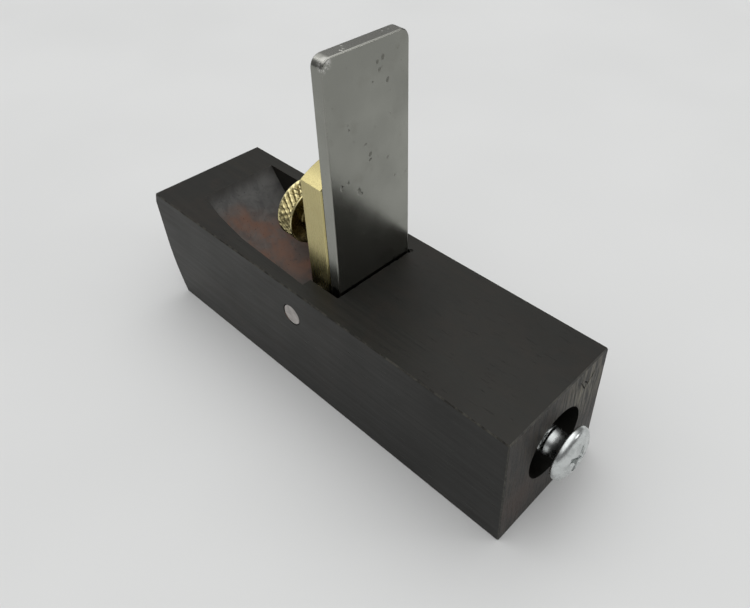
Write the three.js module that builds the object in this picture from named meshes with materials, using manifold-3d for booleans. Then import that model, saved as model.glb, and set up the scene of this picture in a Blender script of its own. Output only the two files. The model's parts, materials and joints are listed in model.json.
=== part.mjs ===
// A small wooden scraper plane: a hardwood stock, a near-vertical iron held by a
// brass lever cap and a knurled thumb screw, and a machine screw in the heel.
// Millimetres, +Z up. +X runs from the toe to the heel. The origin is on the sole's
// centreline, a set distance ahead of the foot of the bed.

import * as THREE from 'three';
import { mergeVertices } from 'three/addons/utils/BufferGeometryUtils.js';
import Module from 'manifold-3d';

const wasm = await Module();
wasm.setup();

// ---------------------------------------------------------------- dimensions

// Stock
const stockLength = 90;
const stockWidth = 25;
const stockHeight = 25;
const edgeBreak = 0.2;
const toeRollRadius = 37;
const toeRollHeight = 13;
const toeBevelLength = 0.9;
const toeBevelHeight = 2.1;

// Bed and mouth
const bedFootFromToe = 49.9;
const originAheadOfBed = 10;
const bedLean = THREE.MathUtils.degToRad(2);
const chipGap = 1.9;
const mouthLip = 3;

// Throat: the scooped opening ahead of the iron
const toeLand = 9.1;
const throatSag = 5.5;
const nearCheekFront = 6.1;
const nearCheekShoulder = 4.3;
const nearShoulderBack = 7.6;
const nearCheekWaist = 3;
const nearWaistBack = 16.6;
const nearCheekRear = 2.3;
const farCheek = 2.7;
const mortiseLength = 7;
const mortiseSetOver = 0.27;

// Iron
const ironWidth = 16.3;
const ironThickness = 2.3;
const ironLength = 65.5;
const ironCornerRadius = 1.7;
const ironEdgeBreak = 0.15;
const ironPlay = 0.23;
const ironRetraction = 0.6;
const ironBevelAngle = THREE.MathUtils.degToRad(45);

// Lever cap
const capInset = 0.55;
const capThickness = 5;
const capFoot = 6;
const capSideTop = 44.6;
const capArchRise = 2.3;
const capNoseThickness = 1.6;
const capNoseHeight = 6.5;
const capEdgeBreak = 0.25;

// Cross pin
const pinRadius = 2;
const pinHeight = 18.3;
const pinAheadOfCap = 0.35;
const pinRelief = 0.05;

// Thumb screw
const screwRadius = 2.5;
const thumbHeight = 30.1;
const knobRadius = 5.7;
const knobWidth = 3.8;
const knobChamfer = 0.35;
const knobFromCap = 6.8;
const knobDish = 0.5;
const knobDishRadius = 3.9;
const hubRadius = 3.2;
const hubLength = 2.6;
const knurlTeeth = 36;
const knurlRows = 8;
const knurlDepth = 0.35;
const padThickness = 1.5;

// Heel screw and what holds it
const heelAxisHeight = 12.9;
const heelAxisSide = 0.35;
const counterboreRadius = 6.6;
const counterboreDepth = 14;
const insertRadius = 4;
const insertLength = 11.5;
const insertRibs = 5;
const insertRibDepth = 0.35;
const insertRibShare = 0.4;
const heelScrewLength = 35;
const heelTipChamfer = 0.5;
const headStandOff = 2.3;
const headRadius = 4.8;
const headRim = 0.6;
const headDome = 1.7;
const headChamfer = 0.25;
const recessSpan = 4.4;
const recessFlare = 0.5;
const recessWing = 1.1;
const recessDepth = 1.5;
const recessTurn = THREE.MathUtils.degToRad(60);
const plugLength = 3;

// Clearances
const fitGap = 0.3;
const pinGap = 0.15;
const ironSideClearance = 0.6;
const threadDepth = 0.5;

// Facets
const roundSegments = 48;
const fineSegments = 32;
const arcSteps = 20;

// ------------------------------------------------------------ derived places

const toeX = originAheadOfBed - bedFootFromToe;
const heelX = toeX + stockLength;
const bedFootX = originAheadOfBed;
const mortiseWidth = ironWidth + 2 * ironSideClearance;
const ironCentre = mortiseSetOver + ironPlay;
const capWidth = ironWidth - 2 * capInset;
const overrun = 2;

// Depths ahead of the bed, square to it
const ironBack = -fitGap;
const ironFront = ironBack - ironThickness;
const capBack = ironFront - fitGap;
const capFront = capBack - capThickness;
const pinAhead = capFront - pinAheadOfCap;
const padBack = ironFront - fitGap;
const thumbTip = padBack - padThickness - fitGap;
const knobBack = capFront - knobFromCap;

const boreRadius = screwRadius + fitGap;
const threadRootRadius = screwRadius - threadDepth;
const headBackX = heelX + headStandOff;
const heelTipX = headBackX - heelScrewLength;
const counterboreFloorX = heelX - counterboreDepth;

// ------------------------------------------------------------------ helpers

function solidOf(geometry) {
  const bare = geometry.clone();
  bare.deleteAttribute('normal');
  bare.deleteAttribute('uv');
  const merged = mergeVertices(bare, 1e-4);
  return new wasm.Manifold(new wasm.Mesh({
    numProp: 3,
    vertProperties: Float32Array.from(merged.attributes.position.array),
    triVerts: Uint32Array.from(merged.index.array),
  }));
}

function geometryOf(solid) {
  const mesh = solid.getMesh();
  const geometry = new THREE.BufferGeometry();
  geometry.setAttribute('position', new THREE.BufferAttribute(Float32Array.from(mesh.vertProperties), 3));
  geometry.setIndex(new THREE.BufferAttribute(Uint32Array.from(mesh.triVerts), 1));
  geometry.computeVertexNormals();
  return geometry;
}

function shapeOf(points) {
  return new THREE.Shape(points.map(([u, v]) => new THREE.Vector2(u, v)));
}

// A shape drawn in X and Z, extruded across the width and centred on it.
function acrossWidth(shape, width, bevel = 0) {
  const geometry = extruded(shape, width, bevel);
  geometry.rotateX(Math.PI / 2);
  geometry.translate(0, width / 2, 0);
  return geometry;
}

// A shape drawn in Y and Z, extruded along X from one depth to another.
function alongLength(shape, fromX, toX, bevel = 0) {
  const geometry = extruded(shape, toX - fromX, bevel);
  geometry.applyMatrix4(new THREE.Matrix4().set(
    0, 0, 1, fromX,
    1, 0, 0, 0,
    0, 1, 0, 0,
    0, 0, 0, 1,
  ));
  return geometry;
}

// Extrusion over the full depth, with its end edges broken by a small chamfer.
function extruded(shape, depth, bevel) {
  const geometry = new THREE.ExtrudeGeometry(shape, {
    depth: depth - 2 * bevel,
    bevelEnabled: bevel > 0,
    bevelThickness: bevel,
    bevelSize: bevel,
    bevelOffset: -bevel,
    bevelSegments: 1,
  });
  geometry.translate(0, 0, bevel);
  return geometry;
}

// A cylinder along X between two stations.
function rodAlongX(radius, fromX, toX, segments = roundSegments) {
  const geometry = new THREE.CylinderGeometry(radius, radius, toX - fromX, segments);
  geometry.rotateZ(-Math.PI / 2);
  geometry.translate((fromX + toX) / 2, 0, 0);
  return geometry;
}

// A cylinder along Y, centred on the midplane.
function rodAcross(radius, length) {
  return new THREE.CylinderGeometry(radius, radius, length, fineSegments);
}

// A turned piece: profile points are [x along the axis, radius], from axis to axis.
function turnedAlongX(profile, segments = roundSegments) {
  const points = profile.map(([x, radius]) => new THREE.Vector2(radius, x));
  const geometry = new THREE.LatheGeometry(points, segments);
  geometry.rotateZ(-Math.PI / 2);
  return geometry;
}

// Places where a line on the bed plane stands above the foot of the bed.
function bedXAt(z) {
  return bedFootX + z * Math.tan(bedLean);
}

function material(color, roughness, metalness) {
  return new THREE.MeshStandardMaterial({ color, roughness, metalness });
}

function named(name, geometry, finish) {
  const mesh = new THREE.Mesh(geometry, finish);
  mesh.name = name;
  return mesh;
}

// -------------------------------------------------------------------- stock

// Side outline of the stock, with the rolled lower toe and a bevelled upper toe.
function stockOutline() {
  const points = [
    [heelX - edgeBreak, 0],
    [heelX, edgeBreak],
    [heelX, stockHeight - edgeBreak],
    [heelX - edgeBreak, stockHeight],
    [toeX + toeBevelLength, stockHeight],
    [toeX, stockHeight - toeBevelHeight],
  ];
  const sweep = Math.asin(toeRollHeight / toeRollRadius);
  const rollSteps = 6;
  for (let step = 0; step <= rollSteps; step += 1) {
    const angle = sweep * step / rollSteps;
    const x = toeX + toeRollRadius * (1 - Math.cos(angle));
    points.push([x, toeRollHeight - toeRollRadius * Math.sin(angle)]);
  }
  return shapeOf(points);
}

// Side outline of the throat and mouth: scoop, lip, and bed.
function throatOutline() {
  const start = new THREE.Vector2(toeX + toeLand, stockHeight);
  const end = new THREE.Vector2(bedFootX + ironFront - chipGap, mouthLip);
  const chord = end.clone().sub(start);
  const half = chord.length() / 2;
  const radius = (half * half + throatSag * throatSag) / (2 * throatSag);
  const upward = new THREE.Vector2(-chord.y, chord.x).normalize();
  const centre = start.clone().add(end).multiplyScalar(0.5);
  centre.addScaledVector(upward, radius - throatSag);
  const from = Math.atan2(start.y - centre.y, start.x - centre.x);
  const to = Math.atan2(end.y - centre.y, end.x - centre.x);
  const turn = THREE.MathUtils.euclideanModulo(to - from, 2 * Math.PI);
  const points = [];
  for (let step = 0; step <= arcSteps; step += 1) {
    const angle = from + turn * step / arcSteps;
    points.push([centre.x + radius * Math.cos(angle), centre.y + radius * Math.sin(angle)]);
  }
  points.push([end.x, -overrun]);
  points.push([bedXAt(-overrun), -overrun]);
  points.push([bedXAt(stockHeight + overrun), stockHeight + overrun]);
  points.push([start.x, stockHeight + overrun]);
  return shapeOf(points);
}

// Plan of the throat: a straight far cheek, a near cheek scooped in three lengths,
// then a step in to the iron's mortise.
function throatPlan() {
  const frontX = toeX + toeLand;
  const stepX = bedXAt(stockHeight) - mortiseLength;
  const rearX = bedXAt(stockHeight + overrun) + overrun;
  const side = stockWidth / 2;
  const nearWall = mortiseSetOver - mortiseWidth / 2;
  const farWall = mortiseSetOver + mortiseWidth / 2;
  return shapeOf([
    [frontX - overrun, -side + nearCheekFront],
    [frontX, -side + nearCheekFront],
    [frontX + nearShoulderBack, -side + nearCheekShoulder],
    [frontX + nearWaistBack, -side + nearCheekWaist],
    [stepX, -side + nearCheekRear],
    [stepX, nearWall],
    [rearX, nearWall],
    [rearX, farWall],
    [stepX, farWall],
    [stepX, side - farCheek],
    [frontX - overrun, side - farCheek],
  ]);
}

function throatCutter() {
  const side = solidOf(acrossWidth(throatOutline(), stockWidth));
  const planGeometry = extruded(throatPlan(), stockHeight + 4 * overrun, 0);
  planGeometry.translate(0, 0, -2 * overrun);
  return side.intersect(solidOf(planGeometry));
}

// Counterbore, insert socket and the bore that runs on to the bed.
function heelBores() {
  const socketEndX = counterboreFloorX - insertLength - fitGap;
  const boreStartX = bedXAt(heelAxisHeight) - overrun;
  const profile = [
    [boreStartX, 0],
    [boreStartX, boreRadius],
    [socketEndX, boreRadius],
    [socketEndX, insertRadius + fitGap],
    [counterboreFloorX, insertRadius + fitGap],
    [counterboreFloorX, counterboreRadius],
    [heelX + overrun, counterboreRadius],
    [heelX + overrun, 0],
  ];
  const geometry = turnedAlongX(profile);
  geometry.translate(0, heelAxisSide, heelAxisHeight);
  return solidOf(geometry);
}

function stockSolid() {
  const block = solidOf(acrossWidth(stockOutline(), stockWidth, edgeBreak));
  const pinHole = rodAcross(pinRadius + pinGap, stockWidth + 2 * overrun);
  pinHole.translate(pinAhead, 0, pinHeight);
  pinHole.rotateY(bedLean);
  pinHole.translate(bedFootX, 0, 0);
  return block
    .subtract(throatCutter())
    .subtract(solidOf(pinHole))
    .subtract(heelBores());
}

// --------------------------------------------------------------------- iron

// Front view of the iron, square to the bed, with rounded top corners.
function ironOutline() {
  const half = ironWidth / 2;
  const shoulder = ironRetraction + ironLength - ironCornerRadius;
  const steps = 5;
  const points = [
    [ironCentre - half, ironRetraction],
    [ironCentre + half, ironRetraction],
  ];
  for (const side of [1, -1]) {
    for (let step = 0; step <= steps; step += 1) {
      const share = side > 0 ? step / steps : 1 - step / steps;
      const angle = Math.PI / 2 * share;
      const reach = half - ironCornerRadius * (1 - Math.cos(angle));
      points.push([ironCentre + side * reach, shoulder + ironCornerRadius * Math.sin(angle)]);
    }
  }
  return shapeOf(points);
}

// The scraping bevel is ground on the back of the iron's lower end.
function ironSolid() {
  const blank = solidOf(alongLength(ironOutline(), ironFront, ironBack, ironEdgeBreak));
  const rise = (ironThickness + overrun) * Math.tan(ironBevelAngle);
  const bevel = shapeOf([
    [ironFront, ironRetraction],
    [ironBack + overrun, ironRetraction + rise],
    [ironBack + overrun, ironRetraction - overrun],
    [ironFront, ironRetraction - overrun],
  ]);
  return blank.subtract(solidOf(acrossWidth(bevel, ironWidth + 2 * overrun)));
}

// ---------------------------------------------------------------- lever cap

// Front view of the cap: square sides under a shallow arch.
function capOutline() {
  const half = capWidth / 2;
  const radius = (half * half + capArchRise * capArchRise) / (2 * capArchRise);
  const sweep = Math.asin(half / radius);
  const crown = capSideTop + capArchRise;
  const steps = 12;
  const points = [[-half, capFoot], [half, capFoot]];
  for (let step = 0; step <= steps; step += 1) {
    const angle = sweep * (1 - 2 * step / steps);
    points.push([radius * Math.sin(angle), crown - radius * (1 - Math.cos(angle))]);
  }
  return shapeOf(points);
}

// The cap thins to a nose at its foot and is notched in front for the cross pin.
function capSolid() {
  const blank = solidOf(alongLength(capOutline(), capFront, capBack, capEdgeBreak));
  const taper = shapeOf([
    [capFront - overrun, capFoot - overrun],
    [capBack - capNoseThickness, capFoot - overrun],
    [capBack - capNoseThickness, capFoot],
    [capFront, capFoot + capNoseHeight],
    [capFront - overrun, capFoot + capNoseHeight],
  ]);
  const notch = rodAcross(pinRadius + fitGap, capWidth + 2 * overrun);
  notch.translate(pinAhead, 0, pinHeight);
  const bore = rodAlongX(boreRadius, capFront - overrun, capBack + overrun);
  bore.translate(0, 0, thumbHeight);
  return blank
    .subtract(solidOf(acrossWidth(taper, capWidth + 2 * overrun)))
    .subtract(solidOf(notch))
    .subtract(solidOf(bore));
}

// --------------------------------------------------------------- thumb screw

// Diamond knurl: alternate points of the rim's grid sink by the knurl's depth.
function knurl(geometry) {
  const rimStart = knobBack - knobWidth + knobChamfer;
  const rimLength = knobWidth - 2 * knobChamfer;
  const position = geometry.attributes.position;
  for (let i = 0; i < position.count; i += 1) {
    const x = position.getX(i);
    const y = position.getY(i);
    const z = position.getZ(i);
    const radius = Math.hypot(y, z);
    const row = (x - rimStart) / rimLength * knurlRows;
    const inside = row > 0.5 && row < knurlRows - 0.5;
    if (inside && radius > knobRadius - 0.01) {
      const column = Math.atan2(z, y) / Math.PI * knurlTeeth;
      const sunk = THREE.MathUtils.euclideanModulo(Math.round(row) + Math.round(column), 2);
      const scale = (radius - sunk * knurlDepth) / radius;
      position.setXYZ(i, x, y * scale, z * scale);
    }
  }
}

// Knob, hub and threaded shank, turned in one piece.
function thumbScrewGeometry() {
  const frontX = knobBack - knobWidth;
  const shankStart = knobBack + hubLength;
  const profile = [
    [frontX + knobDish, 0],
    [frontX + knobDish, knobDishRadius],
    [frontX, knobDishRadius + knobDish],
    [frontX, knobRadius - knobChamfer],
  ];
  for (let row = 0; row <= knurlRows; row += 1) {
    const share = row / knurlRows;
    profile.push([frontX + knobChamfer + share * (knobWidth - 2 * knobChamfer), knobRadius]);
  }
  profile.push(
    [knobBack, knobRadius - knobChamfer],
    [knobBack, hubRadius],
    [shankStart, hubRadius],
    [shankStart, screwRadius],
    [thumbTip - knobChamfer, screwRadius],
    [thumbTip, screwRadius - knobChamfer],
    [thumbTip, 0],
  );
  const geometry = turnedAlongX(profile, 2 * knurlTeeth);
  knurl(geometry);
  geometry.translate(0, 0, thumbHeight);
  return geometry;
}

// ---------------------------------------------------------------- heel screw

// Points on the domed head, from the rim to the crown.
function headProfile() {
  const steps = 8;
  const points = [];
  for (let step = 0; step <= steps; step += 1) {
    const angle = Math.PI / 2 * step / steps;
    points.push([
      headBackX + headRim + headDome * Math.sin(angle),
      step === steps ? 0 : headRadius * Math.cos(angle),
    ]);
  }
  return points;
}

// A cross recess, narrowing towards its floor, left at the angle the screw was driven to.
function crossRecess() {
  const crownX = headBackX + headRim + headDome;
  const mouthHalf = recessSpan / 2 + recessFlare;
  const floorHalf = recessSpan / 4;
  const wing = shapeOf([
    [crownX - recessDepth, -floorHalf],
    [crownX + overrun, -mouthHalf],
    [crownX + overrun, mouthHalf],
    [crownX - recessDepth, floorHalf],
  ]);
  const first = acrossWidth(wing, recessWing);
  first.rotateX(recessTurn);
  const second = first.clone();
  second.rotateX(Math.PI / 2);
  return solidOf(first).add(solidOf(second));
}

function heelScrewSolid() {
  const profile = [
    [heelTipX, 0],
    [heelTipX, screwRadius - heelTipChamfer],
    [heelTipX + heelTipChamfer, screwRadius],
    [headBackX, screwRadius],
    [headBackX, headRadius - headChamfer],
    [headBackX + headChamfer, headRadius],
    ...headProfile(),
  ];
  return solidOf(turnedAlongX(profile)).subtract(crossRecess());
}

// The ribbed sleeve that the heel screw runs in.
function insertGeometry() {
  const frontX = counterboreFloorX - insertLength;
  const pitch = insertLength / insertRibs;
  const ramp = pitch * (1 - insertRibShare) / 2;
  const profile = [[frontX, boreRadius], [frontX, insertRadius - insertRibDepth]];
  for (let rib = 0; rib < insertRibs; rib += 1) {
    const start = frontX + rib * pitch;
    profile.push([start + ramp, insertRadius]);
    profile.push([start + pitch - ramp, insertRadius]);
    profile.push([start + pitch, insertRadius - insertRibDepth]);
  }
  profile.push([counterboreFloorX, boreRadius], [frontX, boreRadius]);
  return turnedAlongX(profile);
}

// ------------------------------------------------------------------ assembly

const darkWood = material(0x2e2d2b, 0.5, 0);
const steel = material(0x84857f, 0.35, 1);
const brass = material(0xc9b866, 0.28, 1);
const zinc = material(0xb9bdbf, 0.25, 1);
const pinSteel = material(0xa39c97, 0.4, 1);

// Everything that stands on the bed leans with it.
const bedGroup = new THREE.Group();
bedGroup.position.set(bedFootX, 0, 0);
bedGroup.rotation.y = bedLean;

const crossPin = named('cross_pin', rodAcross(pinRadius, stockWidth - 2 * pinRelief), pinSteel);
crossPin.position.set(pinAhead, 0, pinHeight);

const padRod = rodAlongX(threadRootRadius, padBack - padThickness, padBack, fineSegments);
const pad = named('thumb_screw_pad', padRod, steel.clone());
pad.position.z = thumbHeight;

bedGroup.add(
  named('iron', geometryOf(ironSolid()), steel),
  named('lever_cap', geometryOf(capSolid()), brass),
  crossPin,
  named('thumb_screw', thumbScrewGeometry(), brass.clone()),
  pad,
);

// Everything that lies on the heel screw's axis.
const heelGroup = new THREE.Group();
heelGroup.position.set(0, heelAxisSide, heelAxisHeight);
heelGroup.add(
  named('heel_screw', geometryOf(heelScrewSolid()), zinc),
  named('heel_insert', insertGeometry(), brass.clone()),
  named(
    'heel_plug',
    rodAlongX(threadRootRadius, heelTipX - fitGap - plugLength, heelTipX - fitGap, fineSegments),
    brass.clone(),
  ),
);

const plane = new THREE.Group();
plane.add(named('stock', geometryOf(stockSolid()), darkWood), bedGroup, heelGroup);

export default plane;
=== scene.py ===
import json
import math
import random

import bmesh
import bpy
from mathutils import Matrix, Vector


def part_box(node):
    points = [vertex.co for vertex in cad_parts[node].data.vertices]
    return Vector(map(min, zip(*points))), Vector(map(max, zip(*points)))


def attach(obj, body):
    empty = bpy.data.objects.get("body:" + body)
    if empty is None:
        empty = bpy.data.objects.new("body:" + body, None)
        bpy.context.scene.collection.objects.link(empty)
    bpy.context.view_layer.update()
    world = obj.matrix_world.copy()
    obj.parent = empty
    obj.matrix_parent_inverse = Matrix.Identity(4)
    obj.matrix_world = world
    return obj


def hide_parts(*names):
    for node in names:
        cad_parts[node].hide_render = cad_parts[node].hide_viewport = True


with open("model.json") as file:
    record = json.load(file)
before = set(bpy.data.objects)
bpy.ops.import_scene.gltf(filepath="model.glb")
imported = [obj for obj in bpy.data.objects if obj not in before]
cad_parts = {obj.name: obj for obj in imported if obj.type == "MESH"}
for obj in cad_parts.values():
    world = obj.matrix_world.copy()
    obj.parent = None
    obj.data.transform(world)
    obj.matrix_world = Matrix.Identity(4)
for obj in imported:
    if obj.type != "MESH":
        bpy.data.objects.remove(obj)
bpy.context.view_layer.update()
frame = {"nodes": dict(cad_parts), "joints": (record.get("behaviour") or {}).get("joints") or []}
MM = 0.001


# ------------------------------------------------------------------ materials

class Finish:
    """One node material around a Principled shader."""

    def __init__(self, name, **values):
        self.material = bpy.data.materials.new(name)
        self.material.use_nodes = True
        self.tree = self.material.node_tree
        self.shader = self.tree.nodes["Principled BSDF"]
        for key, value in values.items():
            self.shader.inputs[key.replace("_", " ")].default_value = value
        self.place = self.add("TexCoord")

    def add(self, kind, **settings):
        node = self.tree.nodes.new("ShaderNode" + kind)
        for key, value in settings.items():
            setattr(node, key, value)
        return node

    def put(self, value, socket):
        if isinstance(value, bpy.types.NodeSocket):
            self.tree.links.new(value, socket)
        else:
            socket.default_value = value

    def spot(self, stretch=(1, 1, 1), turn=(0, 0, 0), shift=(0, 0, 0)):
        """Object coordinates in metres, less shift, turned back by turn, then multiplied by stretch."""
        mapping = self.add("Mapping", vector_type="TEXTURE")
        self.put(self.place.outputs["Object"], mapping.inputs["Vector"])
        self.put(tuple(1.0 / k for k in stretch), mapping.inputs["Scale"])
        self.put(turn, mapping.inputs["Rotation"])
        self.put(shift, mapping.inputs["Location"])
        return mapping.outputs[0]

    def noise(self, scale, detail=2.0, rough=0.5, warp=0.0, **mapping):
        node = self.add("TexNoise")
        self.put(self.spot(**mapping), node.inputs["Vector"])
        self.put(scale, node.inputs["Scale"])
        self.put(detail, node.inputs["Detail"])
        self.put(rough, node.inputs["Roughness"])
        self.put(warp, node.inputs["Distortion"])
        return node.outputs["Fac"]

    def cells(self, scale, **mapping):
        node = self.add("TexVoronoi", feature="F1")
        self.put(self.spot(**mapping), node.inputs["Vector"])
        self.put(scale, node.inputs["Scale"])
        return node.outputs["Distance"]

    def fade(self, value, low, high, to_low=0.0, to_high=1.0):
        """A smooth step of value between low and high."""
        node = self.add("MapRange", interpolation_type="SMOOTHSTEP")
        self.put(value, node.inputs["Value"])
        self.put(low, node.inputs["From Min"])
        self.put(high, node.inputs["From Max"])
        self.put(to_low, node.inputs["To Min"])
        self.put(to_high, node.inputs["To Max"])
        return node.outputs["Result"]

    def math(self, operation, a, b=0.0):
        node = self.add("Math", operation=operation)
        self.put(a, node.inputs[0])
        self.put(b, node.inputs[1])
        return node.outputs[0]

    def blend(self, share, a, b):
        node = self.add("Mix", data_type="RGBA", blend_type="MIX")
        self.put(share, node.inputs[0])
        self.put(rgba(a), node.inputs[6])
        self.put(rgba(b), node.inputs[7])
        return node.outputs[2]

    def axes(self, output):
        node = self.add("SeparateXYZ")
        self.put(self.place.outputs[output], node.inputs[0])
        return node.outputs

    def near(self, point, reach):
        """1 at a point, falling to 0 at reach metres from it."""
        node = self.add("VectorMath", operation="DISTANCE")
        self.put(self.place.outputs["Object"], node.inputs[0])
        self.put(point, node.inputs[1])
        return self.fade(node.outputs["Value"], reach, 0.0)

    def colour(self, value):
        self.put(rgba(value), self.shader.inputs["Base Color"])

    def roughness(self, value):
        self.put(value, self.shader.inputs["Roughness"])

    def bump(self, height, distance, strength, under=None):
        node = self.add("Bump")
        self.put(height, node.inputs["Height"])
        self.put(distance, node.inputs["Distance"])
        self.put(strength, node.inputs["Strength"])
        if under is not None:
            self.put(under, node.inputs["Normal"])
        self.put(node.outputs[0], self.shader.inputs["Normal"])
        return node.outputs[0]


def rgba(value):
    if isinstance(value, (tuple, list)) and len(value) == 3:
        return (*value, 1.0)
    return value


def hardwood(name, worn):
    """Dark, dense hardwood: long fibres, short pores, growth layers standing upright."""
    f = Finish(name, Metallic=0.0, Specular_IOR_Level=0.31, Specular_Tint=(1.0, 0.99, 0.93, 1.0))
    fibre = f.noise(1.0, 4.0, 0.62, 0.3, stretch=(60, 3600, 1100))
    layers = f.noise(1.0, 3.0, 0.55, 0.5, stretch=(14, 640, 110))
    cloud = f.noise(46.0, 3.0, 0.55)
    pores = f.noise(1.0, 2.0, 0.5, stretch=(260, 5200, 2600))
    pore = f.fade(pores, 0.66, 0.74)
    light, dark = (0.0180, 0.0176, 0.0148), (0.0080, 0.0079, 0.0068)
    tone = f.blend(f.fade(fibre, 0.32, 0.7), dark, light)
    tone = f.blend(f.fade(layers, 0.42, 0.66, 0.0, 0.5), tone, (0.017, 0.014, 0.0105))
    tone = f.blend(f.fade(cloud, 0.38, 0.7, 0.0, 0.35), tone, (0.009, 0.009, 0.0095))
    brown = f.noise(130.0, 4.0, 0.6, 0.8, shift=(0.7, 0.3, 0.5))
    tone = f.blend(f.fade(brown, 0.48, 0.68, 0.0, 0.35), tone, (0.024, 0.0165, 0.0125))
    facing = f.axes("Normal")
    x, y, z = f.axes("Object")
    # Painted shade: the wood's colour is darkened toward the heel, on the sides most.
    side = f.fade(f.math("ABSOLUTE", facing[1]), 0.8, 0.97, 0.5, 1.0)
    painted_heel_shade = f.math("MULTIPLY", side, f.fade(x, TOE_X, HEEL_X, 0.1, 0.9))
    tone = f.blend(painted_heel_shade, tone, (0.0035, 0.0035, 0.003))
    # End grain is browner than the sides.
    end = f.fade(f.math("ABSOLUTE", facing[0]), 0.8, 0.97)
    streak = f.noise(1.0, 3.0, 0.6, 0.4, stretch=(300, 1500, 190))
    end_tone = f.blend(f.fade(streak, 0.36, 0.66), (0.0022, 0.0019, 0.0016), (0.030, 0.022, 0.016))
    pale = f.near((HEEL_X, 7.0 * MM, 20.0 * MM), 10 * MM)
    pale_tone = f.blend(f.fade(streak, 0.4, 0.6), (0.010, 0.009, 0.007), (0.15, 0.138, 0.105))
    end_tone = f.blend(pale, end_tone, pale_tone)
    ruddy = f.math("MULTIPLY", f.near((HEEL_X, -8.0 * MM, 7.0 * MM), 8.0 * MM), 0.5)
    end_tone = f.blend(ruddy, end_tone, (0.05, 0.026, 0.018))
    tone = f.blend(end, tone, end_tone)
    # The scooped ramp shows raw red heartwood half way down.
    ramp = f.math("MULTIPLY", f.fade(facing[2], 0.2, 0.35), f.fade(facing[2], 0.97, 0.86))
    ramp = f.math("MULTIPLY", ramp, f.fade(z, STOCK_TOP, STOCK_TOP - 2.5 * MM, 0.3, 1.0))
    ramp = f.math("MULTIPLY", ramp, f.fade(facing[0], 0.05, 0.25))
    drift = f.math("MULTIPLY", f.noise(150.0, 2.0, 0.5), 5.0 * MM)
    level = f.math("ADD", f.math("ADD", z, drift), f.math("MULTIPLY", y, 0.35))
    band = f.math("MULTIPLY", f.fade(level, 24.0 * MM, 20.5 * MM), f.fade(level, 7.0 * MM, 15.0 * MM))
    red = f.noise(260.0, 3.0, 0.6, 0.4)
    heart = f.math("MULTIPLY", f.math("MULTIPLY", ramp, band), f.fade(red, 0.34, 0.66, 0.25, 1.0))
    raw = f.noise(330.0, 3.0, 0.6, 0.6)
    raw_tone_and_shade = f.blend(f.fade(raw, 0.3, 0.7), (0.074, 0.074, 0.075), (0.124, 0.123, 0.120))
    # Painted shade: the ramp's raw wood colour is darkened toward the bottom of the throat.
    raw_tone_and_shade = f.blend(f.fade(z, 17.0 * MM, 7.0 * MM, 0.0, 0.7), raw_tone_and_shade, (0.040, 0.034, 0.030))
    tone = f.blend(ramp, tone, raw_tone_and_shade)
    tone = f.blend(f.math("MULTIPLY", heart, 0.85), tone, (0.180, 0.090, 0.060))
    tone = f.blend(f.math("MULTIPLY", pore, 0.75), tone, (0.004, 0.004, 0.004))
    if worn:
        rub = f.noise(900.0, 3.0, 0.65)
        tone = f.blend(f.fade(rub, 0.36, 0.68, 0.05, 0.6), tone, (0.085, 0.082, 0.068))
    f.colour(tone)
    satin = f.math("ADD", f.fade(fibre, 0.3, 0.7, 0.42, 0.50), f.fade(cloud, 0.3, 0.7, -0.03, 0.05))
    f.roughness(satin)
    first = f.bump(f.math("SUBTRACT", f.math("MULTIPLY", fibre, 0.35), pore), 0.035 * MM, 0.7)
    saw = f.noise(1.0, 2.0, 0.5, stretch=(420, 2100, 260))
    f.bump(f.math("MULTIPLY", saw, end), 0.12 * MM, 0.8, under=first)
    return f.material


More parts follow.
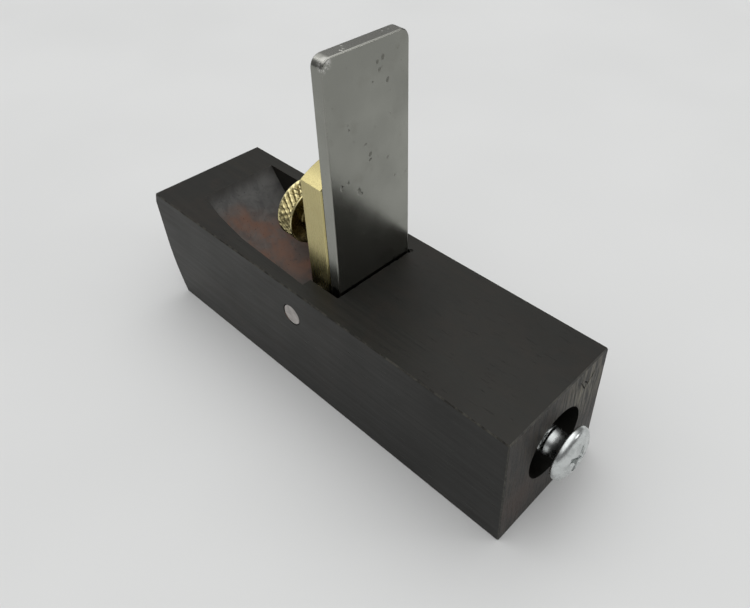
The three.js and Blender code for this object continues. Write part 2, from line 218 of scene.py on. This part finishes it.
def ground_steel(name, base, roughness, pitted):
    """Satin ground steel with a fine scratch pattern and, on the faces, rust pits."""
    f = Finish(name, Metallic=1.0)
    cloud = f.noise(70.0, 3.0, 0.55)
    brushed = f.noise(1.0, 3.0, 0.6, stretch=(5200, 5200, 260), turn=(math.radians(14), 0, 0))
    cross = f.noise(1.0, 2.0, 0.6, stretch=(4200, 4200, 330), turn=(math.radians(-27), 0, 0))
    low = tuple(0.86 * c for c in base)
    high = tuple(min(1.0, 1.12 * c) for c in base)
    tone = f.blend(f.fade(cloud, 0.3, 0.7), low, high)
    tone = f.blend(f.fade(brushed, 0.35, 0.65, 0.0, 0.15), tone, tuple(0.8 * c for c in base))
    rough = f.math("ADD", f.fade(cloud, 0.3, 0.7, roughness - 0.04, roughness + 0.05),
                   f.fade(cross, 0.3, 0.7, -0.01, 0.01))
    marks = f.math("ADD", f.math("MULTIPLY", brushed, 0.5), f.math("MULTIPLY", cross, 0.5))
    under = f.bump(marks, 0.001 * MM, 0.05)
    if pitted:
        lean = (math.radians(-24), 0, 0)
        seeds = f.cells(1.0, stretch=(700, 1000, 640), turn=lean, shift=(0.3, 0.7, 0.1))
        picked = f.noise(1.0, 1.0, 0.5, stretch=(300, 300, 240), turn=lean, shift=(1.4, 0.25, 2.6))
        ragged = f.math("MULTIPLY", f.noise(3000.0, 2.0, 0.6), 0.3)
        pit = f.math("MULTIPLY", f.fade(f.math("ADD", seeds, ragged), 0.50, 0.34), f.fade(picked, 0.60, 0.65))
        specks = f.cells(1.0, stretch=(2600, 1900, 1500), shift=(5.3, 1.7, 2.9))
        choose = f.noise(1.0, 1.0, 0.5, stretch=(900, 900, 900), shift=(7.7, 1.2, 0.4))
        speck = f.math("MULTIPLY", f.fade(specks, 0.36, 0.2), f.fade(choose, 0.66, 0.70))
        pit = f.math("MULTIPLY", pit, f.fade(f.axes("Object")[2], 41.0 * MM, 45.0 * MM))
        damage = f.math("MAXIMUM", pit, f.math("MULTIPLY", speck, 0.5))
        stain = f.fade(f.noise(240.0, 3.0, 0.6, shift=(1, 4, 2)), 0.56, 0.72, 0.0, 0.25)
        tone = f.blend(stain, tone, (0.17, 0.165, 0.14))
        tone = f.blend(f.math("MULTIPLY", damage, 0.5), tone, (0.095, 0.092, 0.075))
        # The top end is bare and matt, and its near corner is filed.
        top = f.fade(f.axes("Normal")[2], 0.3, 0.8, 0.0, 0.4)
        tone = f.blend(top, tone, (0.66, 0.655, 0.61))
        rough = f.math("ADD", rough, f.math("MULTIPLY", top, 0.2))
        corner = f.near((12.4 * MM, -7.3 * MM, 65.6 * MM), 2.6 * MM)
        filed = f.math("MULTIPLY", f.fade(corner, 0.2, 0.7), f.fade(f.noise(1800.0, 3.0, 0.7), 0.42, 0.6))
        tone = f.blend(f.math("MULTIPLY", filed, 0.7), tone, (0.74, 0.73, 0.70))
        rough = f.math("ADD", rough, f.math("MULTIPLY", f.math("MAXIMUM", pit, filed), 0.2))
        f.bump(f.math("SUBTRACT", 0.0, pit), 0.08 * MM, 0.7, under=under)
    f.colour(tone)
    f.roughness(rough)
    return f.material


def brass(name, base, roughness, streaks=(260, 5200, 5200), painted_shade=None):
    """Bar brass: machined streaks, a slight tarnish in clouds, and a dark painted shade where the given mask
    says.
    """
    f = Finish(name, Metallic=1.0)
    cloud = f.noise(120.0, 3.0, 0.55)
    lines = f.noise(1.0, 3.0, 0.6, stretch=streaks)
    tarnish = f.noise(420.0, 4.0, 0.6, 0.4, shift=(2, 5, 1))
    tone = f.blend(f.fade(cloud, 0.3, 0.7), tuple(0.9 * c for c in base), base)
    stained = (base[0] * 0.72, base[1] * 0.66, base[2] * 0.5)
    tone = f.blend(f.fade(tarnish, 0.55, 0.75, 0.0, 0.4), tone, stained)
    if painted_shade:
        # Painted shade: the colour is darkened where the mask is 1.
        tone = f.blend(f.math("MULTIPLY", painted_shade(f), 0.85), tone, (0.10, 0.076, 0.026))
    f.colour(tone)
    f.roughness(f.math("ADD", f.fade(cloud, 0.3, 0.7, roughness - 0.03, roughness + 0.05),
                       f.fade(lines, 0.3, 0.7, -0.04, 0.05)))
    f.bump(lines, 0.002 * MM, 0.15)
    return f.material


def plated(name, base, roughness):
    """Bright plating over a formed screw, faintly mottled."""
    f = Finish(name, Metallic=1.0)
    cloud = f.noise(700.0, 4.0, 0.6, 0.5)
    grime = f.noise(1500.0, 3.0, 0.6, shift=(3, 1, 2))
    tone = f.blend(f.fade(cloud, 0.35, 0.7), base, tuple(0.8 * c for c in base))
    tone = f.blend(f.fade(grime, 0.6, 0.75, 0.0, 0.5), tone, (0.16, 0.16, 0.15))
    f.colour(tone)
    f.roughness(f.fade(cloud, 0.3, 0.7, roughness - 0.05, roughness + 0.08))
    f.bump(cloud, 0.02 * MM, 0.5)
    return f.material


# --------------------------------------------------------------------- meshes

SMOOTH_UP_TO = 35.0


def new_piece(name, verts, faces, materials, smooth=SMOOTH_UP_TO):
    mesh = bpy.data.meshes.new(name)
    mesh.from_pydata([tuple(v) for v in verts], [], faces)
    for material in materials:
        mesh.materials.append(material)
    mesh.shade_smooth()
    mesh.set_sharp_from_angle(angle=math.radians(smooth))
    piece = bpy.data.objects.new(name, mesh)
    bpy.context.scene.collection.objects.link(piece)
    return piece


def face_outwards(piece):
    work = bmesh.new()
    work.from_mesh(piece.data)
    bmesh.ops.recalc_face_normals(work, faces=work.faces)
    work.to_mesh(piece.data)
    work.free()


def from_cad(node, name, materials):
    """A CAD node's shape with its corners welded and its flat faces whole."""
    source = frame["nodes"][node].data
    work = bmesh.new()
    verts = [work.verts.new(v.co) for v in source.vertices]
    for face in source.polygons:
        work.faces.new([verts[i] for i in face.vertices])
    bmesh.ops.remove_doubles(work, verts=work.verts, dist=0.002 * MM)
    bmesh.ops.dissolve_limit(work, angle_limit=math.radians(0.6), verts=work.verts, edges=work.edges)
    bmesh.ops.recalc_face_normals(work, faces=work.faces)
    piece = new_piece(name, [], [], materials)
    work.to_mesh(piece.data)
    work.free()
    piece.data.shade_smooth()
    piece.data.set_sharp_from_angle(angle=math.radians(SMOOTH_UP_TO))
    return piece


def ease_edges(piece, width, edge_material=None, angle=32.0):
    """Rounds every hard edge a little, in the worn-edge material if there is one."""
    bevel = piece.modifiers.new("eased", "BEVEL")
    bevel.width = width
    bevel.segments = 2
    bevel.limit_method = "ANGLE"
    bevel.angle_limit = math.radians(angle)
    bevel.use_clamp_overlap = True
    if edge_material is not None:
        bevel.material = edge_material


def cut(piece, cutter):
    modifier = piece.modifiers.new("cut", "BOOLEAN")
    modifier.operation = "DIFFERENCE"
    modifier.solver = "EXACT"
    modifier.object = cutter


def settle(piece, cutters=()):
    """Makes the modifiers' result the mesh itself, with flat faces kept flat."""
    weigh = piece.modifiers.new("weighted", "WEIGHTED_NORMAL")
    weigh.keep_sharp = True
    bpy.context.view_layer.update()
    graph = bpy.context.evaluated_depsgraph_get()
    mesh = bpy.data.meshes.new_from_object(piece.evaluated_get(graph))
    piece.modifiers.clear()
    piece.data = mesh
    for cutter in cutters:
        bpy.data.objects.remove(cutter)


def hand_over(piece, body, node):
    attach(piece, body)
    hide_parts(node)


def turned(name, profile, segments, materials, shape, smooth, place):
    """A turned piece along X, then moved to place.

    Profile points are (x, radius), and shape may change the radius."""
    verts, faces, rings = [], [], []
    for x, radius in profile:
        if radius == 0.0:
            rings.append([len(verts)])
            verts.append((x, 0.0, 0.0))
            continue
        rings.append(list(range(len(verts), len(verts) + segments)))
        for i in range(segments):
            angle = math.tau * i / segments
            r = shape(x, radius, angle)
            verts.append((x, r * math.cos(angle), r * math.sin(angle)))
    for a, b in zip(rings, rings[1:]):
        for i in range(segments):
            j = (i + 1) % segments
            if len(a) == 1:
                faces.append((a[0], b[j], b[i]))
            elif len(b) == 1:
                faces.append((a[i], a[j], b[0]))
            else:
                faces.append((a[i], a[j], b[j], b[i]))
    piece = new_piece(name, verts, faces, materials, smooth)
    face_outwards(piece)
    piece.data.transform(place)
    return piece


def saw(u):
    """0 at whole numbers, 1 half way between."""
    return 1.0 - abs(2.0 * (u % 1.0) - 1.0)


def steps(start, stop, count):
    return [start + (stop - start) * i / count for i in range(count + 1)]


# --------------------------------------------------------------------- places

STOCK_LOW, STOCK_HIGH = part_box("stock")
TOE_X, HEEL_X = STOCK_LOW.x, STOCK_HIGH.x
STOCK_TOP = STOCK_HIGH.z
BED_FOOT_X = 10.0 * MM
JOINTS = {joint["name"]: joint for joint in frame["joints"]}
# Ends of the grooves in the heel's end grain, as (y, z) in millimetres.
SCRATCHES = (((5.6, 22.6), (6.9, 20.2)), ((6.9, 20.2), (9.3, 22.3)), ((6.7, 21.9), (7.7, 20.9)))


def make_stock():
    wood, worn = hardwood("dark_hardwood", False), hardwood("worn_hardwood", True)
    stock = from_cad("stock", "stock_body", [wood, worn])
    narrow = 0.35 * MM
    for face in stock.data.polygons:
        if face.area < narrow * longest_side(stock.data, face):
            face.material_index = 1
    ease_edges(stock, 0.08 * MM, edge_material=1)
    rng = random.Random(7)
    iron_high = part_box("iron")[1]
    slope = JOINTS["iron_slide"]["axis"]
    bed_edge_x = BED_FOOT_X + STOCK_TOP * slope[0] / slope[2]
    # How far behind the bed's edge, where across the stock, and the size in millimetres.
    chips = [(0.0, iron_high.y + 0.15 * MM, 0.55), (0.02, 5.6 * MM, 0.34), (0.0, 3.4 * MM, 0.22),
             (0.05, 6.6 * MM, 0.26), (0.0, -1.2 * MM, 0.16), (0.0, -4.6 * MM, 0.2)]
    cutters = []
    for back, y, size in chips:
        cutters.append(chip((bed_edge_x + back * MM, y, STOCK_TOP), size * MM, rng))
    for cutter in cutters:
        cut(stock, cutter)
    for start, end in SCRATCHES:
        cutters.append(scratch(start, end))
        cut(stock, cutters[-1])
    settle(stock, cutters)
    hand_over(stock, "stock", "stock")


def longest_side(mesh, face):
    corners = [mesh.vertices[i].co for i in face.vertices]
    return max((b - a).length for a, b in zip(corners, corners[1:] + corners[:1]))


def chip(centre, size, rng):
    """A ragged lump that breaks a piece out of an edge."""
    work = bmesh.new()
    bmesh.ops.create_icosphere(work, subdivisions=2, radius=size)
    for vert in work.verts:
        vert.co *= rng.uniform(0.75, 1.15)
        vert.co.y *= 1.3
        vert.co.z *= 0.6
    work.transform(Matrix.Translation(centre))
    mesh = bpy.data.meshes.new("chip_cutter")
    work.to_mesh(mesh)
    work.free()
    cutter = bpy.data.objects.new("chip_cutter", mesh)
    bpy.context.scene.collection.objects.link(cutter)
    cutter.hide_render = True
    return cutter


def scratch(start, end):
    """A shallow groove in the heel's end grain, between two (y, z) points in millimetres."""
    width, depth, overlap = 0.2, 0.8, 0.1
    proud = Vector((0.2, 0, 0))
    a, b = Vector((0, *start)), Vector((0, *end))
    along = (b - a).normalized()
    side = Vector((0, -along.z, along.y)) * width
    verts = []
    for point, reach in ((a, -overlap), (b, overlap)):
        middle = point + along * reach
        verts += [middle + side + proud, middle - side + proud, middle - Vector((depth, 0, 0))]
    verts = [Vector((HEEL_X, 0, 0)) + v * MM for v in verts]
    faces = [(0, 1, 2), (5, 4, 3), (0, 3, 4, 1), (1, 4, 5, 2), (2, 5, 3, 0)]
    cutter = new_piece("scratch_cutter", verts, faces, [])
    face_outwards(cutter)
    cutter.hide_render = True
    return cutter


def make_iron():
    face = ground_steel("ground_steel", (0.290, 0.293, 0.264), 0.22, True)
    edge = ground_steel("ground_steel_edge", (0.33, 0.33, 0.30), 0.30, False)
    iron = from_cad("iron", "iron_blade", [face, edge])
    ease_edges(iron, 0.10 * MM, edge_material=1, angle=28)
    settle(iron)
    hand_over(iron, "iron", "iron")


CAP_BRASS = (0.53, 0.462, 0.222)


def make_lever_cap():
    face = brass("satin_brass", CAP_BRASS, 0.24, streaks=(5200, 5200, 300))
    edge = brass("rubbed_brass", (0.70, 0.63, 0.32), 0.24)
    cap = from_cad("lever_cap", "lever_cap_body", [face, edge])
    ease_edges(cap, 0.08 * MM, edge_material=1, angle=28)
    settle(cap)
    hand_over(cap, "lever_cap", "lever_cap")


def span_on_axis(node, origin, axis):
    """How far a CAD node reaches along an axis, before and after its origin."""
    reach = [(v.co - origin).dot(axis) for v in frame["nodes"][node].data.vertices]
    return min(reach), max(reach)


def make_thumb_screw():
    """Knurled knob, hub and threaded shank."""
    joint = JOINTS["thumb_turn"]
    origin = Vector(joint["pos_m"])
    axis = -Vector(JOINTS["thumb_advance"]["axis"]).normalized()
    front, tip = span_on_axis("thumb_screw", origin, axis)
    place = Matrix.Translation(origin) @ axis.to_track_quat("X", "Z").to_matrix().to_4x4()
    knob_radius, knob_width, chamfer = 5.7 * MM, 3.8 * MM, 0.25 * MM
    dish, dish_radius = 0.5 * MM, 3.9 * MM
    hub_radius, hub_end = 3.2 * MM, 2.6 * MM
    shank, pitch, thread = 2.5 * MM, 0.8 * MM, 0.5 * MM
    teeth, tooth_lead, main_cut, cross_cut = 30, 1.9 * MM, 0.36, 0.12
    tip_chamfer, rim_rows, thread_rows = 0.5 * MM, 30, 70
    back = front + knob_width
    rim_start, rim_end = front + chamfer, back - chamfer
    thread_start = back + hub_end + 0.4 * MM

    def shape(x, radius, angle):
        if radius > knob_radius - 0.02 * MM and rim_start <= x <= rim_end:
            turn = angle / math.tau * teeth
            run = (x - rim_start) / tooth_lead
            fade = min(1.0, 8 * (x - rim_start) / knob_width, 8 * (rim_end - x) / knob_width)
            return radius - fade * MM * (main_cut * saw(turn - run) + cross_cut * saw(turn + run))
        if thread_start < x < tip - tip_chamfer:
            return radius - thread * saw(x / pitch - angle / math.tau)
        return radius

    def painted_shade(f):
        """Painted shade mask: 1 in the knurl's grooves and on all that lies behind the knob, where shade
        falls.
        """
        x, y, z = f.axes("Object")
        ahead, above = f.math("SUBTRACT", x, origin.x), f.math("SUBTRACT", z, origin.z)
        along = f.math("ADD", f.math("MULTIPLY", ahead, axis.x), f.math("MULTIPLY", above, axis.z))
        lift = f.math("SUBTRACT", above, f.math("MULTIPLY", ahead, axis.z / axis.x))
        out = f.math("SQRT", f.math("ADD", f.math("MULTIPLY", y, y), f.math("MULTIPLY", lift, lift)))
        groove = f.math("MULTIPLY", f.fade(out, knob_radius - 0.06 * MM, knob_radius - 0.26 * MM),
                        f.fade(out, 4.9 * MM, 5.1 * MM))
        behind = f.fade(along, back - 0.06 * MM, back - 0.01 * MM)
        return f.math("MAXIMUM", behind, f.math("MULTIPLY", groove, 0.8))

    profile = [(front + dish, 0.0), (front + dish, dish_radius - 0.4 * MM), (front + 0.8 * dish, dish_radius)]
    profile += [(front + 0.1 * dish, dish_radius + dish), (front, dish_radius + 1.3 * dish)]
    profile += [(front, knob_radius - 1.2 * chamfer), (front + 0.3 * chamfer, knob_radius - 0.4 * chamfer)]
    profile += [(x, knob_radius) for x in steps(rim_start, rim_end, rim_rows)]
    profile += [(back - 0.3 * chamfer, knob_radius - 0.4 * chamfer), (back, knob_radius - 1.2 * chamfer)]
    profile += [(back, hub_radius + 0.15 * MM), (back + 0.15 * MM, hub_radius)]
    profile += [(back + hub_end - 0.2 * MM, hub_radius), (back + hub_end, hub_radius - 0.2 * MM)]
    profile += [(back + hub_end, shank)]
    profile += [(x, shank) for x in steps(thread_start, tip - tip_chamfer, thread_rows)]
    profile += [(tip, shank - tip_chamfer), (tip, 0.0)]
    finish = brass("knurled_brass", (0.70, 0.62, 0.33), 0.24, (5200, 900, 900), painted_shade)
    screw = turned("thumb_screw_knob", profile, teeth * 10, [finish], shape, 28, place)
    settle(screw)
    hand_over(screw, "thumb_screw", "thumb_screw")


def make_heel_screw():
    """Zinc-plated pan head machine screw with a cross recess."""
    low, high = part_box("heel_screw")
    centre = Vector((0.0, (low.y + high.y) / 2, (low.z + high.z) / 2))
    head_radius, rim, dome = 4.8 * MM, 0.6 * MM, 1.7 * MM
    shank, neck, pitch, thread = 2.5 * MM, 2.3 * MM, 0.8 * MM, 0.45 * MM
    head_back = STOCK_HIGH.x + 2.3 * MM
    neck_start = head_back - 2.9 * MM
    run_out, tip_chamfer, rows_per_turn, dome_rows = 0.8 * MM, 0.5 * MM, 8, 16
    start = low.x

    def shape(x, radius, angle):
        if start + tip_chamfer < x < neck_start:
            fade = min(1.0, (neck_start - x) / run_out)
            return radius - thread * fade * saw(x / pitch - angle / math.tau)
        return radius

    profile = [(start, 0.0), (start, shank - tip_chamfer), (start + tip_chamfer, shank)]
    thread_rows = int((neck_start - start) / pitch * rows_per_turn)
    profile += [(x, shank) for x in steps(start + 0.6 * MM, neck_start, thread_rows)]
    profile += [(neck_start + 0.15 * MM, shank), (neck_start + 0.5 * MM, neck)]
    profile += [(head_back - 0.3 * MM, neck), (head_back, neck + 0.25 * MM)]
    profile += [(head_back, head_radius - 0.3 * MM), (head_back + 0.1 * MM, head_radius - 0.08 * MM)]
    profile += [(head_back + 0.25 * MM, head_radius), (head_back + rim * 0.7, head_radius)]
    for angle in steps(0.12, math.pi / 2, dome_rows):
        radius = head_radius * math.cos(angle) ** 0.92 if angle < math.pi / 2 - 1e-6 else 0.0
        profile.append((head_back + rim + dome * math.sin(angle), radius))
    zinc = plated("zinc_plate", (0.64, 0.665, 0.66), 0.25)
    screw = turned("heel_screw_body", profile, 72, [zinc], shape, 40, Matrix.Translation(centre))
    cutter = cross_cutter(head_back + rim + dome, centre)
    cut(screw, cutter)
    settle(screw, [cutter])
    hand_over(screw, "heel_screw", "heel_screw")


def cross_cutter(crown, centre):
    """The tapering four-winged recess of a cross-head screw."""
    sections = [(crown + 0.5 * MM, 2.95 * MM, 0.68 * MM), (crown - 0.5 * MM, 2.45 * MM, 0.56 * MM),
                (crown - 1.5 * MM, 1.25 * MM, 0.42 * MM), (crown - 1.9 * MM, 0.5 * MM, 0.3 * MM)]
    turn = math.radians(60)
    verts, faces = [], []
    for x, reach, half in sections:
        for quarter in range(4):
            for u, v in ((reach, -half), (reach, half), (half * 1.15, half * 1.15)):
                angle = turn + quarter * math.pi / 2
                y = u * math.cos(angle) - v * math.sin(angle)
                z = u * math.sin(angle) + v * math.cos(angle)
                verts.append(centre + Vector((x, y, z)))
    ring = len(verts) // len(sections)
    for s in range(len(sections) - 1):
        for i in range(ring):
            j = (i + 1) % ring
            faces.append((s * ring + i, s * ring + j, (s + 1) * ring + j, (s + 1) * ring + i))
    faces.append(tuple(range(ring)))
    faces.append(tuple(reversed(range(len(verts) - ring, len(verts)))))
    cutter = new_piece("recess_cutter", verts, faces, [])
    face_outwards(cutter)
    cutter.hide_render = True
    return cutter


def make_small_parts():
    """Cross pin, insert, plug and pad: the CAD's own shapes with eased edges."""
    pin = plated("pin_steel", (0.50, 0.47, 0.45), 0.42)
    plain = brass("insert_brass", (0.62, 0.53, 0.27), 0.32)
    pad = ground_steel("pad_steel", (0.42, 0.42, 0.40), 0.34, False)
    for node, name, body, slot, finish in (
        ("cross_pin", "cross_pin_rod", "stock", "pin_steel", pin),
        ("heel_insert", "heel_insert_sleeve", "stock", "insert_brass", plain),
        ("heel_plug", "heel_plug_rod", "heel_plug", "plug_brass", plain),
        ("thumb_screw_pad", "thumb_screw_pad_disc", "thumb_screw_pad", "pad_steel", pad),
    ):
        piece = from_cad(node, name, [finish])
        ease_edges(piece, 0.08 * MM)
        settle(piece)
        hand_over(piece, body, node)


# ---------------------------------------------------------------------- stage

def make_floor():
    f = Finish("pale_floor", Metallic=0.0, Roughness=0.75)
    f.colour(f.blend(f.fade(f.noise(14.0, 2.0), 0.3, 0.7), (0.700, 0.706, 0.702), (0.725, 0.731, 0.727)))
    half = 4.0
    corners = [(-half, -half, 0), (half, -half, 0), (half, half, 0), (-half, half, 0)]
    floor = new_piece("floor", corners, [(0, 1, 2, 3)], [f.material])


def area_light(name, place, size, watts):
    """A white panel that faces the origin."""
    light = bpy.data.lights.new(name, "AREA")
    light.shape = "RECTANGLE"
    light.size, light.size_y = size
    light.energy = watts
    lamp = bpy.data.objects.new(name, light)
    lamp.location = place
    lamp.rotation_euler = (-Vector(place)).to_track_quat("-Z", "Y").to_euler()
    bpy.context.scene.collection.objects.link(lamp)


def make_light():
    world = bpy.data.worlds.new("studio")
    bpy.context.scene.world = world
    world.use_nodes = True
    nodes, links = world.node_tree.nodes, world.node_tree.links
    back = nodes["Background"]
    place = nodes.new("ShaderNodeTexCoord")
    axes = nodes.new("ShaderNodeSeparateXYZ")
    ramp = nodes.new("ShaderNodeMapRange")
    ramp.interpolation_type = "SMOOTHSTEP"
    links.new(place.outputs["Generated"], axes.inputs[0])
    links.new(axes.outputs["Z"], ramp.inputs["Value"])
    for key, value in (("From Min", 0.45), ("From Max", 1.0), ("To Min", 0.21), ("To Max", 1.6)):
        ramp.inputs[key].default_value = value
    links.new(ramp.outputs["Result"], back.inputs["Strength"])
    back.inputs["Color"].default_value = (1.0, 1.0, 1.0, 1.0)
    area_light("ceiling_panel", (-0.16, 0.27, 0.65), (0.45, 0.45), 0.45)
    area_light("far_window", (0.60, 0.48, 0.33), (0.22, 0.20), 0.40)
    area_light("front_card", (-0.40, -0.23, 0.65), (0.30, 0.30), 0.28)


def make_camera():
    """A camera high over the heel and the near side."""
    azimuth, elevation, roll = math.radians(41.831), math.radians(41.324), math.radians(0.611)
    aim, distance = Vector((11.271, 16.262, 12.5)) * MM, 137.294 * MM
    back = Vector((
        math.sin(azimuth) * math.cos(elevation),
        -math.cos(azimuth) * math.cos(elevation),
        math.sin(elevation),
    ))
    data = bpy.data.cameras.new("camera")
    data.lens = 33.324
    data.shift_x, data.shift_y = -0.08533, -0.02667
    data.clip_start = 0.005
    camera = bpy.data.objects.new("camera", data)
    camera.matrix_world = (
        Matrix.Translation(aim + back * distance)
        @ Matrix.Rotation(azimuth, 4, "Z")
        @ Matrix.Rotation(math.pi / 2 - elevation, 4, "X")
        @ Matrix.Rotation(roll, 4, "Z")
    )
    bpy.context.scene.collection.objects.link(camera)
    bpy.context.scene.camera = camera


make_camera()
make_floor()
make_light()
make_stock()
make_iron()
make_lever_cap()
make_thumb_screw()
make_heel_screw()
make_small_parts()
bpy.context.scene.view_settings.view_transform = "Standard"
